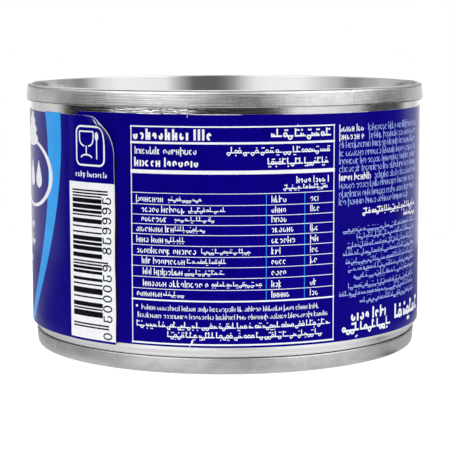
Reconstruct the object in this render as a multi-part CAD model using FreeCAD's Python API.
import FreeCAD, Part
import math
import os

# A small round food tin, shut: a tinplate body necked in at the foot, an end seamed
# on above and below, and a paper label wound round the wall. Millimetres, +Z up.
# The origin is the centre of the ring that the tin stands on. -Y is the side that
# carries the label's printed table, with the label's free edge to its left.

# Driving dimensions
can_h = 50.0             # over both seams
body_r = 37.5            # outside of the plain wall
nest_gap = 0.3           # play of the foot seam inside the chuck wall of the tin below
neck_bend_r = 1.2        # bend from the plain wall into the neck
neck_angle = 40.0        # slope of the neck, in degrees from the upright
sheet_t = 0.2            # tinplate, body and ends alike
fold_slack = 0.05        # air left in the five layers of a seam
top_seam_h = 3.05        # crest to the edge of the hook, upper end
foot_seam_h = 2.95       # the same, lower end
crest_out_r = 0.5        # rounding of a seam's crest, outer side
crest_in_r = 0.3         # the same, inner side
hook_r = 0.45            # rounding where the hook turns in to the wall
countersink_depth = 4.8  # crest to the bottom of the groove inside the chuck wall
chuck_lean = 0.3         # how far the chuck wall leans in on its way down
groove_r = 0.6           # half-round bottom of that groove
riser = 0.1              # straight wall between the groove and the shoulder
shoulder_r = 0.5         # rounding up on to the panel
bead_count = 2           # raised rings pressed in the panel
bead_inset = 3.0         # shoulder to the middle of the first ring
bead_pitch = 5.0         # from ring to ring
bead_w = 2.4
bead_h = 0.45
paper_t = 0.1
label_drop = 1.4         # bare wall between the upper seam and the label
label_overhang = 0.15    # how far the label reaches below the start of the neck
lap_w = 8.8              # how far the free end laps over the start
lap_gap = 0.05           # film of paste between the two layers
ramp_w = 3.0             # length over which the paper climbs on to its own start
free_edge_deg = -30.9    # the free edge, counted from -Y towards +X

# Worked out
chuck_in = 2 * sheet_t                  # from the wall's outer face in to the chuck wall
seam_out = 3 * sheet_t + fold_slack     # from the same face out to the seam's
neck_r = body_r - chuck_in - nest_gap - seam_out
bend = math.radians(neck_angle)
bend_end_r = body_r - neck_bend_r * (1 - math.cos(bend))
bend_end_z = foot_seam_h + (bend_end_r - neck_r) / math.tan(bend)
neck_top_z = bend_end_z + neck_bend_r * math.sin(bend)
panel_depth = countersink_depth - groove_r - riser - shoulder_r
label_foot = neck_top_z - label_overhang
label_h = can_h - top_seam_h - label_drop - label_foot


class Outline:
    """A chain of edges in the XZ half plane, x being the radius."""

    def __init__(self, r, z):
        self.at = (r, z)
        self.edges = []

    def line(self, r, z):
        self.edges.append(straight(point(*self.at), point(r, z)))
        self.at = (r, z)
        return self

    def arc(self, r, z, turn):
        """Arc to (r, z) that turns by so many degrees, left turns positive."""
        r0, z0 = self.at
        sag = 0.5 * math.tan(math.radians(turn) / 4)
        middle = point((r0 + r) / 2 + (z - z0) * sag, (z0 + z) / 2 - (r - r0) * sag)
        self.edges.append(Part.Arc(point(r0, z0), middle, point(r, z)).toShape())
        self.at = (r, z)
        return self

    def turned(self):
        """The solid that the closed outline makes round the Z axis."""
        face = Part.Face(Part.Wire(self.edges))
        return face.revolve(point(0, 0), FreeCAD.Vector(0, 0, 1), 360)


def point(r, z):
    return FreeCAD.Vector(r, 0, z)


def straight(a, b):
    return Part.LineSegment(a, b).toShape()


def panel_line(outline, wall_r, z_of, side, skin):
    """From the axis out to the chuck wall, along one face of an end.

    z_of places a depth under the crest; side is 1 where up is out of the tin and
    -1 below; skin is 0 for the outer face and sheet_t for the inner one.
    """
    groove_out = wall_r - chuck_in - chuck_lean
    groove_mid = groove_out - groove_r
    groove_in = groove_mid - groove_r
    groove_z = countersink_depth - groove_r
    shoulder_z = groove_z - riser
    panel_z = panel_depth + skin
    shoulder_top = groove_in - shoulder_r
    for number in reversed(range(bead_count)):
        middle = shoulder_top - bead_inset - number * bead_pitch
        slope = math.degrees(2 * math.atan(2 * bead_h / bead_w)) * side
        halfway_z = z_of(panel_z - bead_h / 2)
        outline.line(middle - bead_w / 2, z_of(panel_z))
        outline.arc(middle - bead_w / 4, halfway_z, slope)
        outline.arc(middle + bead_w / 4, halfway_z, -2 * slope)
        outline.arc(middle + bead_w / 2, z_of(panel_z), slope)
    outline.line(shoulder_top, z_of(panel_z))
    outline.arc(groove_in - skin, z_of(shoulder_z), -90 * side)
    outline.line(groove_in - skin, z_of(groove_z))
    outline.arc(groove_out + skin, z_of(groove_z), 180 * side)
    return outline


def seamed_end(wall_r, seam_h):
    """An end with its seam, the crest at z = 0 and the tin below it."""
    def z_of(depth):
        return -depth

    chuck_r = wall_r - chuck_in
    seam_r = wall_r + seam_out
    outer = Outline(0, z_of(panel_depth))
    panel_line(outer, wall_r, z_of, 1, 0)
    outer.line(chuck_r, z_of(crest_in_r))
    outer.arc(chuck_r + crest_in_r, 0, -90)
    outer.line(seam_r - crest_out_r, 0)
    outer.arc(seam_r, z_of(crest_out_r), -90)
    outer.line(seam_r, z_of(seam_h - hook_r))
    outer.arc(seam_r - hook_r, z_of(seam_h), -90)
    outer.line(chuck_r + sheet_t, z_of(seam_h))
    inner = Outline(0, z_of(panel_depth + sheet_t))
    panel_line(inner, wall_r, z_of, 1, sheet_t)
    inner.line(chuck_r + sheet_t, z_of(seam_h))
    axis = straight(point(0, z_of(panel_depth)), point(0, z_of(panel_depth + sheet_t)))
    outer.edges = Part.__sortEdges__(outer.edges + inner.edges + [axis])
    return outer.turned()


def tin_body():
    """The wall and all that it holds, up to the inner faces of both ends."""
    inner_z = panel_depth + sheet_t
    top = Outline(0, can_h - inner_z)
    panel_line(top, body_r, lambda depth: can_h - depth, 1, sheet_t)
    top.line(body_r - sheet_t, can_h - top_seam_h)
    top.line(body_r, can_h - top_seam_h)
    top.line(body_r, neck_top_z)
    top.arc(bend_end_r, bend_end_z, -neck_angle)
    top.line(neck_r, foot_seam_h)
    top.line(neck_r - sheet_t, foot_seam_h)
    foot = Outline(0, inner_z)
    panel_line(foot, neck_r, lambda depth: depth, -1, sheet_t)
    foot.line(neck_r - sheet_t, foot_seam_h)
    axis = straight(point(0, inner_z), point(0, can_h - inner_z))
    top.edges = Part.__sortEdges__(top.edges + foot.edges + [axis])
    return top.turned()


def round_point(r, angle):
    """A point at an angle in radians counted from -Y towards +X, at the label's foot."""
    return FreeCAD.Vector(r * math.sin(angle), -r * math.cos(angle), label_foot)


def round_arc(r, a, b):
    middle = round_point(r, (a + b) / 2)
    return Part.Arc(round_point(r, a), middle, round_point(r, b)).toShape()


def label():
    """One strip of paper, once round and lapped over its own start."""
    under = body_r
    over = body_r + paper_t + lap_gap
    free_edge = math.radians(free_edge_deg) + 2 * math.pi
    start = free_edge - 2 * math.pi - lap_w / over
    climbed = start + 2 * math.pi - paper_t / over
    climb = climbed - ramp_w / over
    edges = [
        round_arc(under, start, climb),
        straight(round_point(under, climb), round_point(over, climbed)),
        round_arc(over, climbed, free_edge),
        straight(round_point(over, free_edge), round_point(over + paper_t, free_edge)),
        round_arc(over + paper_t, free_edge, climbed),
        straight(round_point(over + paper_t, climbed), round_point(under + paper_t, climb)),
        round_arc(under + paper_t, climb, start),
        straight(round_point(under + paper_t, start), round_point(under, start)),
    ]
    return Part.Face(Part.Wire(edges)).extrude(FreeCAD.Vector(0, 0, label_h))


def top_end():
    end = seamed_end(body_r, top_seam_h)
    end.translate(FreeCAD.Vector(0, 0, can_h))
    return end


def bottom_end():
    end = seamed_end(neck_r, foot_seam_h)
    end.rotate(point(0, 0), FreeCAD.Vector(1, 0, 0), 180)
    return end


os.makedirs("parts", exist_ok=True)
for make in (tin_body, top_end, bottom_end, label):
    solid = make()
    print(make.__name__, solid.ShapeType, solid.isValid(), round(solid.Volume, 2))
    solid.exportStep("parts/" + make.__name__ + ".step")
